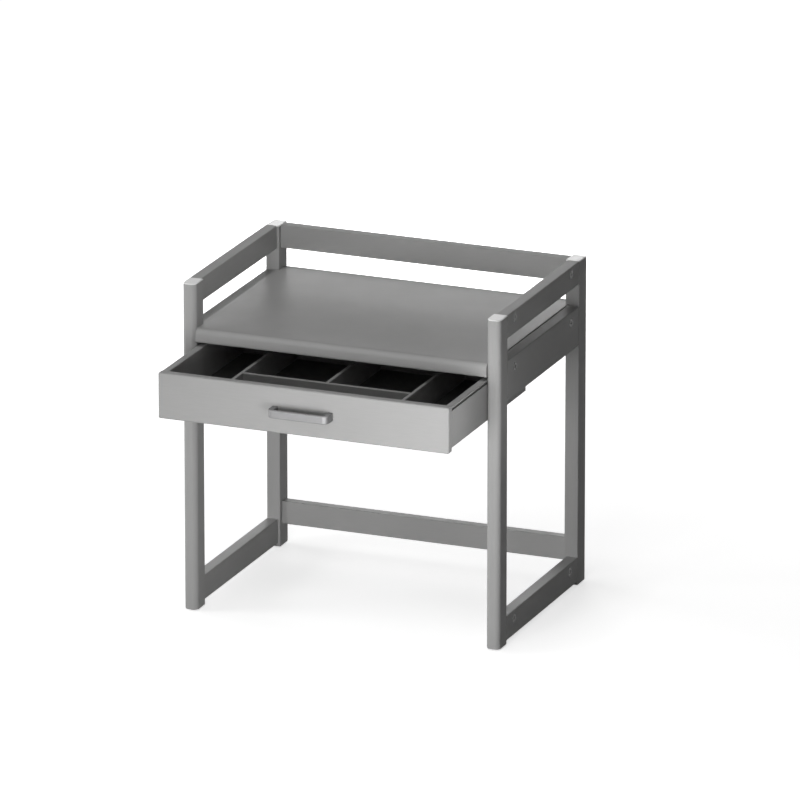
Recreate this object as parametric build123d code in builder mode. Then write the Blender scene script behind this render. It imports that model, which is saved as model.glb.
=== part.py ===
from build123d import *
import os

# A stand for a microwave: four posts and their rails carry a shelf, and a wide drawer with
# a divided tray hangs on two steel angle runners under it. Cam locks hold the boards, as
# in flat-packed furniture. Each cam is let into the board that butts against its neighbour.
#
# Millimetres. +X is the right side, +Y the back and +Z up. The origin is on the floor,
# under the middle of the whole with the drawer left part open.

os.makedirs("parts", exist_ok=True)

# ---------------------------------------------------------------- driving dimensions
stand_width = 560.0
stand_depth = 390.0
stand_height = 566.0
guard_height = 76.0             # from the top of the shelf to the top of the posts
drawer_open = 160.0             # how far the drawer stands open as modelled

post_width = 24.0               # across the front
post_depth = 34.0               # from front to back
post_nose_radius = 8.0          # front edges of the front posts
post_cap_thickness = 2.0        # moulded cap on the sawn top of each post
post_cap_chamfer = 0.8
arris_radius = 1.5              # eased edges of posts and boards
glide_height = 2.0
glide_radius = 8.0

rail_thickness = 20.0           # side rails and side boards
top_rail_height = 40.0
side_board_height = 68.0
side_board_drop = 2.0           # top of the side board below the top of the shelf
bottom_rail_height = 43.0
bottom_rail_gap = 8.0           # under the bottom rails

back_rail_thickness = 18.0
back_rail_height = 40.0
back_rail_inset = 8.0           # from the posts' rear faces
back_bottom_rail_gap = 41.0     # under the bottom rail at the back
back_apron_height = 45.0

shelf_thickness = 24.0
shelf_nose_radius = 10.0        # top of the shelf's front edge
shelf_lip_radius = 4.0          # bottom of the shelf's front edge

drawer_side_gap = 1.5           # between the drawer and each post
drawer_top_gap = 4.0            # between the drawer front and the shelf
drawer_front_height = 78.0
drawer_front_thickness = 15.0
drawer_front_radius = 2.5       # corners of the front, seen from the front
drawer_front_chamfer = 1.8      # round its face
drawer_rear_chamfer = 1.0
drawer_wall = 12.0              # sides and back of the drawer
drawer_rear_gap = 15.0          # from the shut drawer to the rear posts
drawer_side_drop = 1.5          # side top below the front's top
drawer_side_rise = 7.0          # side bottom above the front's bottom
drawer_back_drop = 6.0          # back top below the side's top
drawer_panel_thickness = 5.0
drawer_panel_rise = 5.0         # panel above the bottom edges of the sides
panel_groove_depth = 6.0
drawer_arris_radius = 1.5       # top edges of the sides and the back

runner_groove_drop = 3.0        # wood left above the groove that takes the runner
runner_groove_height = 4.0
runner_groove_depth = 6.0
runner_gauge = 2.0              # thickness of the steel angle
runner_upright = 25.0           # height of the leg screwed to the side board
runner_engagement = 4.5         # how far the other leg reaches into the drawer side
runner_bend_radius = 2.5        # outside of the bend
runner_tab_reach = 12.0         # stop tab, from the leg's face towards the drawer

divider_thickness = 6.0
divider_drop = 15.5             # divider top below the side's top
divider_offset = 149.5          # left and right dividers from the middle
divider_cross_setback = 87.0    # cross divider behind the drawer front
divider_housing = 3.0           # depth of the grooves in the front and the back
divider_lap = 2.0               # depth of the grooves that take the cross divider
divider_edge_chamfer = 0.8

handle_pitch = 96.0             # between the middles of its feet
handle_projection = 24.0
handle_height = 14.0
handle_bar = 5.0                # thickness of the bar
handle_foot = 10.0              # thickness of each leg where it meets the drawer
handle_corner_radius = 9.0
handle_edge_chamfer = 1.0

frame_cam_radius = 7.5
frame_cam_depth = 13.5
frame_cam_reach = 34.0          # from the joint to the middle of the cam
drawer_cam_radius = 6.0
drawer_cam_depth = 9.0
drawer_cam_reach = 24.0
rail_cam_rise = 7.0             # cam above the middle of its rail
board_cam_drop = 19.0           # cam below the top of the side board
shelf_cam_setback = 100.0       # shelf cams, from the posts
drawer_cam_drop = 24.0          # cam below the top of the drawer side
cam_recess_width = 1.6          # cross that takes the screwdriver
cam_recess_depth = 2.0
cam_clearance = 0.1             # round a cam

groove_clearance = 0.5          # past the edge of the panel in its groove
slip_clearance = 0.1            # panel or divider in its groove, each side
running_clearance = 0.3         # drawer on its runners, and at the stop

# ------------------------------------------------------------------- derived places
front_y = (drawer_open + handle_projection - stand_depth) / 2
back_y = front_y + stand_depth
post_top = stand_height - post_cap_thickness
rail_start_y = front_y + post_depth
rail_end_y = back_y - post_depth
rail_length = rail_end_y - rail_start_y

outer_x = stand_width / 2
post_inner_x = outer_x - post_width
rail_inner_x = outer_x - rail_thickness
rail_middle_x = outer_x - rail_thickness / 2

back_rail_rear_y = back_y - back_rail_inset
back_rail_middle_y = back_rail_rear_y - back_rail_thickness / 2

shelf_height = stand_height - guard_height
shelf_underside = shelf_height - shelf_thickness
side_board_top = shelf_height - side_board_drop
side_board_middle = side_board_top - side_board_height / 2

drawer_front_y = front_y - drawer_open
box_start_y = drawer_front_y + drawer_front_thickness
box_end_y = rail_end_y - drawer_rear_gap - drawer_open
drawer_box_depth = box_end_y - box_start_y
drawer_outer_x = post_inner_x - drawer_side_gap
drawer_inner_x = drawer_outer_x - drawer_wall
drawer_front_top = shelf_underside - drawer_top_gap
drawer_front_bottom = drawer_front_top - drawer_front_height
drawer_side_top = drawer_front_top - drawer_side_drop
drawer_side_bottom = drawer_front_bottom + drawer_side_rise
drawer_back_start_y = box_end_y - drawer_wall
drawer_back_top = drawer_side_top - drawer_back_drop
panel_bottom = drawer_side_bottom + drawer_panel_rise
panel_top = panel_bottom + drawer_panel_thickness
panel_groove_bottom = panel_bottom - slip_clearance
panel_groove_height = drawer_panel_thickness + 2 * slip_clearance
panel_tongue = panel_groove_depth - groove_clearance

divider_top = drawer_side_top - divider_drop
divider_cross_y = box_start_y + divider_cross_setback
divider_tongue = divider_housing - slip_clearance
housing_width = divider_thickness + 2 * slip_clearance

runner_groove_top = drawer_side_top - runner_groove_drop
runner_top = runner_groove_top - running_clearance
runner_face_x = rail_inner_x - runner_gauge
runner_tip_x = drawer_outer_x - runner_engagement
runner_tab_y = box_end_y + drawer_open + running_clearance
runner_start_y = rail_start_y + running_clearance
runner_end_y = runner_tab_y + runner_gauge

handle_middle_z = drawer_front_bottom + drawer_front_height / 2

sides = {"left": -1, "right": 1}
top_rail_middle = stand_height - top_rail_height / 2
bottom_rail_middle = bottom_rail_gap + bottom_rail_height / 2
back_top_rail_middle = stand_height - back_rail_height / 2
back_apron_middle = shelf_underside - back_apron_height / 2
back_bottom_rail_middle = back_bottom_rail_gap + back_rail_height / 2


# ------------------------------------------------------------------ places of the cams
# Each cam has a plane on the face that it is let into, with the normal out of the board
# and the x direction along the bolt that the cam draws in.
def rail_cam_planes(side, z):
    """The cams at the two ends of a side rail, on its outer face."""
    ends = ((rail_start_y + frame_cam_reach, 1), (rail_end_y - frame_cam_reach, -1))
    return [Plane(origin=(side * outer_x, y, z), x_dir=(0, way, 0), z_dir=(side, 0, 0))
            for y, way in ends]


def back_cam_planes(z):
    """The cams at the two ends of a rail at the back, on its rear face."""
    return [Plane(origin=(side * (post_inner_x - frame_cam_reach), back_rail_rear_y, z),
                  x_dir=(-side, 0, 0), z_dir=(0, 1, 0))
            for side in sides.values()]


def shelf_cam_planes():
    """The cams that hold the shelf to the side boards, on its underside."""
    return [Plane(origin=(side * (rail_inner_x - frame_cam_reach), y, shelf_underside),
                  x_dir=(-side, 0, 0), z_dir=(0, 0, -1))
            for side in sides.values()
            for y in (rail_start_y + shelf_cam_setback, rail_end_y - shelf_cam_setback)]


def drawer_cam_planes(side):
    """The cam that holds one drawer side to the drawer front, on the side's inner face."""
    return [Plane(origin=(side * drawer_inner_x, box_start_y + drawer_cam_reach,
                          drawer_side_top - drawer_cam_drop),
                  x_dir=(0, 1, 0), z_dir=(-side, 0, 0))]


def cam_pockets(planes, radius, depth):
    """Cuts the round pockets of some cams in the piece that is being built."""
    for plane in planes:
        with BuildSketch(plane) as outline:
            Circle(radius + cam_clearance)
        extrude(outline.sketch, amount=-depth, mode=Mode.SUBTRACT)


rail_cam_heights = {
    "top_rail": top_rail_middle + rail_cam_rise,
    "side_board": side_board_top - board_cam_drop,
    "bottom_rail": bottom_rail_middle + rail_cam_rise,
}
back_cam_heights = {
    "back_top_rail": back_top_rail_middle + rail_cam_rise,
    "back_apron": back_apron_middle + rail_cam_rise,
    "back_bottom_rail": back_bottom_rail_middle + rail_cam_rise,
}


def keep(piece, name):
    """Labels a finished piece and writes it to its own file."""
    piece.part.label = name
    export_step(piece.part, f"parts/{name}.step")


# ------------------------------------------------------------------------ the posts
def post_outline(side, start_y, nose_radius):
    """The section of a post: round front corners and eased rear ones."""
    with BuildSketch(Plane.XY) as outline:
        with Locations((side * (outer_x - post_width / 2), start_y + post_depth / 2)):
            Rectangle(post_width, post_depth)
        corners = outline.vertices().group_by(Axis.Y)
        fillet(corners[0], nose_radius)
        fillet(corners[-1], arris_radius)
    return outline.sketch


def build_post(outline):
    """One post, from its glide to its cap."""
    with BuildPart() as post:
        with BuildSketch(Plane.XY.offset(glide_height)):
            add(outline)
        extrude(amount=post_top - glide_height)
    return post


post_outlines = {}
for side_name, side in sides.items():
    post_outlines[f"post_front_{side_name}"] = post_outline(side, front_y, post_nose_radius)
    post_outlines[f"post_rear_{side_name}"] = post_outline(side, rail_end_y, arris_radius)
for post_name, outline in post_outlines.items():
    keep(build_post(outline), post_name)

with BuildPart() as post_caps:
    with BuildSketch(Plane.XY.offset(post_top)):
        add(post_outlines.values())
    extrude(amount=post_cap_thickness)
    chamfer(post_caps.faces().group_by(Axis.Z)[-1].edges(), post_cap_chamfer)
keep(post_caps, "post_caps")

with BuildPart() as foot_glides:
    with BuildSketch():
        with Locations(*[(side * (outer_x - post_width / 2), start_y + post_depth / 2)
                         for side in sides.values()
                         for start_y in (front_y, rail_end_y)]):
            Circle(glide_radius)
    extrude(amount=glide_height)
keep(foot_glides, "foot_glides")


# --------------------------------------------------------------- side rails and boards
def build_side_rail(side, middle_z, height, cam_planes):
    """A rail or board between a front and a rear post, flush with their outer faces."""
    with BuildPart() as rail:
        with BuildSketch(Plane.XZ.offset(-rail_start_y)):
            with Locations((side * rail_middle_x, middle_z)):
                RectangleRounded(rail_thickness, height, arris_radius)
        extrude(amount=-rail_length)
        cam_pockets(cam_planes, frame_cam_radius, frame_cam_depth)
    return rail


side_rail_sizes = {
    "top_rail": (top_rail_middle, top_rail_height),
    "side_board": (side_board_middle, side_board_height),
    "bottom_rail": (bottom_rail_middle, bottom_rail_height),
}
for side_name, side in sides.items():
    for rail_name, (middle_z, height) in side_rail_sizes.items():
        cam_planes = rail_cam_planes(side, rail_cam_heights[rail_name])
        keep(build_side_rail(side, middle_z, height, cam_planes), f"{rail_name}_{side_name}")


# ----------------------------------------------------------------- rails at the back
def build_back_rail(middle_z, height, cam_planes):
    """A rail between the rear posts."""
    with BuildPart() as rail:
        with BuildSketch(Plane.YZ.offset(-post_inner_x)):
            with Locations((back_rail_middle_y, middle_z)):
                RectangleRounded(back_rail_thickness, height, arris_radius)
        extrude(amount=2 * post_inner_x)
        cam_pockets(cam_planes, frame_cam_radius, frame_cam_depth)
    return rail


back_rail_sizes = {
    "back_top_rail": (back_top_rail_middle, back_rail_height),
    "back_apron": (back_apron_middle, back_apron_height),
    "back_bottom_rail": (back_bottom_rail_middle, back_rail_height),
}
for rail_name, (middle_z, height) in back_rail_sizes.items():
    cam_planes = back_cam_planes(back_cam_heights[rail_name])
    keep(build_back_rail(middle_z, height, cam_planes), rail_name)

# ------------------------------------------------------------------------ the shelf
# The shelf reaches the side boards and is notched round the four posts.
with BuildPart() as shelf_board:
    with BuildSketch(Plane.XY.offset(shelf_underside)):
        with Locations((0, (front_y + back_rail_rear_y) / 2)):
            Rectangle(2 * post_inner_x, back_rail_rear_y - front_y)
        with Locations((0, (rail_start_y + rail_end_y) / 2)):
            Rectangle(2 * rail_inner_x, rail_length)
    extrude(amount=shelf_thickness)
    front_face = shelf_board.faces().sort_by(Axis.Y)[0]
    fillet(front_face.edges().filter_by(Axis.X).sort_by(Axis.Z)[0], shelf_lip_radius)
    front_face = shelf_board.faces().sort_by(Axis.Y)[0]
    fillet(front_face.edges().filter_by(Axis.X).sort_by(Axis.Z)[-1], shelf_nose_radius)
    rear_face = shelf_board.faces().sort_by(Axis.Y)[-1]
    fillet(rear_face.edges().filter_by(Axis.X), arris_radius)
    cam_pockets(shelf_cam_planes(), frame_cam_radius, frame_cam_depth)
keep(shelf_board, "shelf_board")


# ----------------------------------------------------------------------- the runners
def build_runner(side):
    """A steel angle on the side board: one leg is in the drawer's groove, with a stop tab."""
    upright_middle_z = runner_top - runner_upright / 2
    leg_width = rail_inner_x - runner_tip_x
    with BuildPart() as runner:
        with BuildSketch(Plane.XZ.offset(-runner_start_y)) as angle:
            with Locations((side * (rail_inner_x - runner_gauge / 2), upright_middle_z)):
                Rectangle(runner_gauge, runner_upright)
            with Locations((side * (rail_inner_x - leg_width / 2), runner_top - runner_gauge / 2)):
                Rectangle(leg_width, runner_gauge)
            bend = angle.vertices().group_by(Axis.Y)[-1].sort_by(lambda v: -side * v.X)[0]
            fillet(bend, runner_bend_radius)
        extrude(amount=runner_start_y - runner_end_y)
        with BuildSketch(Plane.XZ.offset(-runner_tab_y)):
            with Locations((side * (runner_face_x - runner_tab_reach / 2), upright_middle_z)):
                Rectangle(runner_tab_reach, runner_upright)
        extrude(amount=-runner_gauge)
    return runner


for side_name, side in sides.items():
    keep(build_runner(side), f"runner_{side_name}")


# -------------------------------------------------------------------- the drawer box
def panel_groove(middle_y, width, depth):
    """Cuts the bottom panel's groove across the piece that is being built."""
    with BuildSketch(Plane.XY.offset(panel_groove_bottom)) as groove:
        with Locations((0, middle_y)):
            Rectangle(width, depth)
    extrude(groove.sketch, amount=panel_groove_height, mode=Mode.SUBTRACT)


def divider_housings(positions, middle_y, depth):
    """Cuts the upright grooves that hold the ends of the dividers."""
    with BuildSketch(Plane.XY.offset(panel_top)) as housing:
        with Locations(*[(x, middle_y) for x in positions]):
            Rectangle(housing_width, depth)
    extrude(housing.sketch, amount=divider_top + slip_clearance - panel_top, mode=Mode.SUBTRACT)


with BuildPart() as drawer_front:
    with BuildSketch(Plane.XZ.offset(-drawer_front_y)):
        with Locations((0, drawer_front_bottom + drawer_front_height / 2)):
            RectangleRounded(2 * drawer_outer_x, drawer_front_height, drawer_front_radius)
    extrude(amount=-drawer_front_thickness)
    chamfer(drawer_front.faces().sort_by(Axis.Y)[0].edges(), drawer_front_chamfer)
    chamfer(drawer_front.faces().sort_by(Axis.Y)[-1].edges(), drawer_rear_chamfer)
    panel_groove(box_start_y - panel_groove_depth / 2, 2 * (drawer_inner_x + panel_groove_depth),
                 panel_groove_depth)
    divider_housings((-divider_offset, divider_offset), box_start_y - divider_housing / 2,
                     divider_housing)
keep(drawer_front, "drawer_front")


def build_drawer_side(side):
    """A drawer side: a groove for the runner outside and one for the panel inside."""
    side_height = drawer_side_top - drawer_side_bottom
    with BuildPart() as wall:
        with BuildSketch(Plane.XZ.offset(-box_start_y)):
            with Locations((side * (drawer_outer_x - drawer_wall / 2),
                            drawer_side_bottom + side_height / 2)):
                Rectangle(drawer_wall, side_height)
            with Locations((side * (drawer_outer_x - runner_groove_depth / 2),
                            runner_groove_top - runner_groove_height / 2)):
                Rectangle(runner_groove_depth, runner_groove_height, mode=Mode.SUBTRACT)
            with Locations((side * (drawer_inner_x + panel_groove_depth / 2),
                            panel_groove_bottom + panel_groove_height / 2)):
                Rectangle(panel_groove_depth, panel_groove_height, mode=Mode.SUBTRACT)
        extrude(amount=-drawer_box_depth)
        fillet(wall.edges().filter_by(Axis.Y).group_by(Axis.Z)[-1], drawer_arris_radius)
        cam_pockets(drawer_cam_planes(side), drawer_cam_radius, drawer_cam_depth)
    return wall


for side_name, side in sides.items():
    keep(build_drawer_side(side), f"drawer_side_{side_name}")

with BuildPart() as drawer_back:
    with BuildSketch(Plane.YZ.offset(-drawer_inner_x)):
        with Locations((box_end_y - drawer_wall / 2, (drawer_side_bottom + drawer_back_top) / 2)):
            Rectangle(drawer_wall, drawer_back_top - drawer_side_bottom)
    extrude(amount=2 * drawer_inner_x)
    fillet(drawer_back.edges().filter_by(Axis.X).group_by(Axis.Z)[-1], drawer_arris_radius)
    panel_groove(drawer_back_start_y + panel_groove_depth / 2, 2 * drawer_inner_x,
                 panel_groove_depth)
    divider_housings((-divider_offset, 0, divider_offset),
                     drawer_back_start_y + divider_housing / 2, divider_housing)
keep(drawer_back, "drawer_back")

with BuildPart() as drawer_bottom:
    with BuildSketch(Plane.XY.offset(panel_bottom)):
        with Locations((0, (box_start_y + drawer_back_start_y) / 2)):
            Rectangle(2 * (drawer_inner_x + panel_tongue),
                      drawer_back_start_y - box_start_y + 2 * panel_tongue)
    extrude(amount=drawer_panel_thickness)
keep(drawer_bottom, "drawer_bottom")


# ---------------------------------------------------------------------- the dividers
def build_long_divider(middle_x, start_y, end_y, lap_sides=()):
    """A divider from front to back, with a groove for the cross divider on the named sides."""
    with BuildPart() as divider:
        with BuildSketch(Plane.YZ.offset(middle_x - divider_thickness / 2)):
            with Locations(((start_y + end_y) / 2, (panel_top + divider_top) / 2)):
                Rectangle(end_y - start_y, divider_top - panel_top)
        extrude(amount=divider_thickness)
        chamfer(divider.edges().filter_by(Axis.Y).group_by(Axis.Z)[-1], divider_edge_chamfer)
        for way in lap_sides:
            with BuildSketch(Plane.XY.offset(panel_top)):
                with Locations((middle_x + way * (divider_thickness - divider_lap) / 2,
                                divider_cross_y)):
                    Rectangle(divider_lap, housing_width)
            extrude(amount=divider_top - panel_top, mode=Mode.SUBTRACT)
    return divider


for side_name, side in sides.items():
    keep(build_long_divider(side * divider_offset, box_start_y - divider_tongue,
                            drawer_back_start_y + divider_tongue, [-side]),
         f"divider_{side_name}")

keep(build_long_divider(0, divider_cross_y + divider_thickness / 2 - divider_lap + slip_clearance,
                        drawer_back_start_y + divider_tongue), "divider_centre")

with BuildPart() as divider_cross:
    cross_reach = divider_offset - divider_thickness / 2 + divider_lap - slip_clearance
    with BuildSketch(Plane.XZ.offset(divider_thickness / 2 - divider_cross_y)):
        with Locations((0, (panel_top + divider_top) / 2)):
            Rectangle(2 * cross_reach, divider_top - panel_top)
    extrude(amount=-divider_thickness)
    chamfer(divider_cross.edges().filter_by(Axis.X).group_by(Axis.Z)[-1], divider_edge_chamfer)
    with BuildSketch(Plane.XY.offset(panel_top)):
        with Locations((0, divider_cross_y + (divider_thickness - divider_lap) / 2)):
            Rectangle(housing_width, divider_lap)
    extrude(amount=divider_top - panel_top, mode=Mode.SUBTRACT)
keep(divider_cross, "divider_cross")

# ------------------------------------------------------------------------ the handle
with BuildPart() as handle:
    grip_depth = handle_projection - handle_bar
    grip_length = handle_pitch - handle_foot
    with BuildSketch(Plane.XY.offset(handle_middle_z - handle_height / 2)) as bow:
        with Locations((0, drawer_front_y - handle_projection / 2)):
            Rectangle(handle_pitch + handle_foot, handle_projection)
        fillet(bow.vertices().group_by(Axis.Y)[0], handle_corner_radius)
        with Locations((0, drawer_front_y - grip_depth / 2)):
            Rectangle(grip_length, grip_depth, mode=Mode.SUBTRACT)
        grip_corners = bow.vertices().group_by(Axis.Y)[1]
        fillet(grip_corners, handle_corner_radius - handle_bar)
    extrude(amount=handle_height)
    rims = handle.faces().filter_by(Axis.Z).edges()
    foot_edges = rims.group_by(Axis.Y)[-1]
    chamfer(rims - foot_edges, handle_edge_chamfer)
keep(handle, "handle")


# ------------------------------------------------------------------------- the cams
def cam_group(planes, radius, depth):
    """Cam locks let into some faces, each a disc with a cross for the screwdriver."""
    with BuildPart() as cams:
        with BuildSketch(*planes):
            Circle(radius)
        extrude(amount=-depth)
        with BuildSketch(*planes):
            Rectangle(radius, cam_recess_width)
            Rectangle(cam_recess_width, radius)
        extrude(amount=-cam_recess_depth, mode=Mode.SUBTRACT)
    return cams


frame_cam_planes = shelf_cam_planes()
for side in sides.values():
    for z in rail_cam_heights.values():
        frame_cam_planes += rail_cam_planes(side, z)
for z in back_cam_heights.values():
    frame_cam_planes += back_cam_planes(z)
keep(cam_group(frame_cam_planes, frame_cam_radius, frame_cam_depth), "frame_cams")

both_drawer_cam_planes = drawer_cam_planes(sides["left"]) + drawer_cam_planes(sides["right"])
keep(cam_group(both_drawer_cam_planes, drawer_cam_radius, drawer_cam_depth), "drawer_cams")
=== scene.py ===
"""A painted worktop stand with a wide divided drawer under its shelf.

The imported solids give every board, runner and cam its place. This scene turns copies of
them into finished pieces with eased edges, adds the cams, screws and glides in full, and
gives each surface its paint, plating, plastic or brushed metal.
"""

import logging
import math
from dataclasses import dataclass
from enum import Enum
from typing import Callable, Sequence

import bmesh
import bpy
from mathutils import Matrix, Vector


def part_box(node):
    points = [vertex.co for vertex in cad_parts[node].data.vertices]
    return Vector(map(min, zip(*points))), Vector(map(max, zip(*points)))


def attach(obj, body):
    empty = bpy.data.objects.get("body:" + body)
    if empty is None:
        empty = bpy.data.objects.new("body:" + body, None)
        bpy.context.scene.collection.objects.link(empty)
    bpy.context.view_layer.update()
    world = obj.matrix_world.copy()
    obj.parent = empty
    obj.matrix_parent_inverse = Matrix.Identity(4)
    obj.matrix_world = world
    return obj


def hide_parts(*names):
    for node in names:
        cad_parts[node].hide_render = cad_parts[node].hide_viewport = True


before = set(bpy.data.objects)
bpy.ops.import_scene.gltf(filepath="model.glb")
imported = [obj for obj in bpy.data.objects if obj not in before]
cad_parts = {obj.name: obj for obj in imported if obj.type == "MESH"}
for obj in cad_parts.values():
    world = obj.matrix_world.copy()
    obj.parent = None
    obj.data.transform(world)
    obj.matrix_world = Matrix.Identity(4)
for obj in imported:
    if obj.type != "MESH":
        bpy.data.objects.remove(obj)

LOG = logging.getLogger("stand")
MM = 0.001
MERGE_DISTANCE = 0.002 * MM
FLAT_ANGLE = math.radians(1.0)
CREASE_ANGLE = math.radians(25.0)
FLAT_FACE_WEIGHT = 100
SIDES = {"left": -1, "right": 1}
POSTS = tuple(f"post_{end}_{side}" for end in ("front", "rear") for side in SIDES)

Rgb = tuple[float, float, float]
Span = tuple[float, float]


class Body(Enum):
    """The two bodies of the stand."""

    FRAME = "frame"
    DRAWER = "drawer"


class Slot(Enum):
    """The record's material slots."""

    FRAME_PAINT = "frame_paint"
    SHELF_PAINT = "shelf_paint"
    FRONT_PAINT = "front_paint"
    DRAWER_PAINT = "drawer_paint"
    PANEL_BOARD = "panel_board"
    TRAY_BOARD = "tray_board"
    RUNNER_STEEL = "runner_steel"
    CAM_ZINC = "cam_zinc"
    GLIDE_PLASTIC = "glide_plastic"
    CAP_PLASTIC = "cap_plastic"
    HANDLE_METAL = "handle_metal"


class Along(Enum):
    """The direction in which a board's grain or a metal's brushing runs."""

    WIDTH = 0
    DEPTH = 1
    HEIGHT = 2


# ------------------------------------------------------------------------ shader graphs
class Graph:
    """Builds the node tree of one material, ending in a Principled shader."""

    def __init__(self, name: str) -> None:
        """Start a material with an empty tree.

        Args:
            name: the material's name.
        """
        self.material = bpy.data.materials.new(name)
        self.material.use_nodes = True
        self.tree = self.material.node_tree
        self.tree.nodes.clear()
        self.output = self.add("ShaderNodeOutputMaterial")
        self.shader = self.add("ShaderNodeBsdfPrincipled")
        self.tree.links.new(self.shader.outputs["BSDF"], self.output.inputs["Surface"])

    def add(self, kind: str, **settings: object) -> bpy.types.Node:
        """Add a node and set its properties.

        Args:
            kind: the node's type name.
            settings: properties of the node, by name.

        Returns:
            The new node.
        """
        node = self.tree.nodes.new(kind)
        for name, value in settings.items():
            setattr(node, name, value)
        return node

    def place(self, stretch: Rgb = (1.0, 1.0, 1.0)) -> bpy.types.NodeSocket:
        """Object coordinates, scaled by axis.

        Args:
            stretch: the scale on each axis.

        Returns:
            The vector output.
        """
        coordinates = self.add("ShaderNodeTexCoord")
        mapping = self.add("ShaderNodeMapping")
        mapping.inputs["Scale"].default_value = stretch
        self.tree.links.new(coordinates.outputs["Object"], mapping.inputs["Vector"])
        return mapping.outputs["Vector"]

    def noise(self, vector: bpy.types.NodeSocket, scale: float, detail: float = 2.0,
              roughness: float = 0.5) -> bpy.types.NodeSocket:
        """A noise value from 0 to 1.

        Args:
            vector: where the noise is read.
            scale: how many cells there are to a metre.
            detail: how many finer layers are added.
            roughness: how strong those layers are.

        Returns:
            The factor output.
        """
        node = self.add("ShaderNodeTexNoise")
        node.inputs["Scale"].default_value = scale
        node.inputs["Detail"].default_value = detail
        node.inputs["Roughness"].default_value = roughness
        self.tree.links.new(vector, node.inputs["Vector"])
        return node.outputs["Fac"]

    def cells(self, vector: bpy.types.NodeSocket, scale: float) -> bpy.types.NodeSocket:
        """A random grey for each cell of a Voronoi pattern.

        Args:
            vector: where the pattern is read.
            scale: how many cells there are to a metre.

        Returns:
            The colour output.
        """
        node = self.add("ShaderNodeTexVoronoi")
        node.inputs["Scale"].default_value = scale
        self.tree.links.new(vector, node.inputs["Vector"])
        return node.outputs["Color"]

    def span(self, value: bpy.types.NodeSocket, low: float, high: float,
             start: float = 0.3, end: float = 0.7) -> bpy.types.NodeSocket:
        """A value spread between two numbers.

        Args:
            value: the value to spread.
            low: the result at start.
            high: the result at end.
            start: the value that gives low.
            end: the value that gives high.

        Returns:
            The result output.
        """
        node = self.add("ShaderNodeMapRange")
        for name, number in (("From Min", start), ("From Max", end),
                             ("To Min", low), ("To Max", high)):
            node.inputs[name].default_value = number
        self.tree.links.new(value, node.inputs["Value"])
        return node.outputs["Result"]

    def math(self, operation: str, first: bpy.types.NodeSocket,
             second: bpy.types.NodeSocket) -> bpy.types.NodeSocket:
        """One arithmetic step.

        Args:
            operation: the Math node's operation.
            first: the first value.
            second: the second value.

        Returns:
            The value output.
        """
        node = self.add("ShaderNodeMath", operation=operation)
        self.tree.links.new(first, node.inputs[0])
        self.tree.links.new(second, node.inputs[1])
        return node.outputs["Value"]

    def shade(self, colour: Rgb, *tones: bpy.types.NodeSocket) -> None:
        """Make the shader's base colour a colour times some varying tones.

        Args:
            colour: the colour where every tone is 1.
            tones: the varying factors.
        """
        factor = tones[0]
        for tone in tones[1:]:
            factor = self.math("MULTIPLY", factor, tone)
        node = self.add("ShaderNodeVectorMath", operation="SCALE")
        node.inputs[0].default_value = colour
        self.tree.links.new(factor, node.inputs["Scale"])
        self.tree.links.new(node.outputs["Vector"], self.shader.inputs["Base Color"])

    def roughen(self, value: bpy.types.NodeSocket) -> None:
        """Make the shader's roughness a varying value."""
        self.tree.links.new(value, self.shader.inputs["Roughness"])

    def steady(self, name: str, value: float) -> None:
        """Set one of the shader's own sockets to a value that is the same all over."""
        self.shader.inputs[name].default_value = value

    def relief(self, height: bpy.types.NodeSocket, distance: float, strength: float,
               below: bpy.types.Node | None = None) -> bpy.types.Node:
        """A layer of bump, which becomes the shader's normal.

        Args:
            height: the height pattern.
            distance: the height of the pattern in metres.
            strength: how much of it shows.
            below: a bump node that this one lies on.

        Returns:
            The new bump node.
        """
        node = self.add("ShaderNodeBump")
        node.inputs["Distance"].default_value = distance
        node.inputs["Strength"].default_value = strength
        self.tree.links.new(height, node.inputs["Height"])
        if below is not None:
            self.tree.links.new(below.outputs["Normal"], node.inputs["Normal"])
        self.tree.links.new(node.outputs["Normal"], self.shader.inputs["Normal"])
        return node


def stretched(along: Along, length: float) -> Rgb:
    """The scale that draws a pattern out along one axis.

    Args:
        along: the axis.
        length: how many times longer the pattern gets there.

    Returns:
        A scale for each axis.
    """
    return tuple(1.0 / length if axis == along.value else 1.0 for axis in range(3))


def around(middle: float, spread: Span) -> Span:
    """The lowest and highest value of something that varies about a middle value."""
    return middle + spread[0], middle + spread[1]


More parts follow.
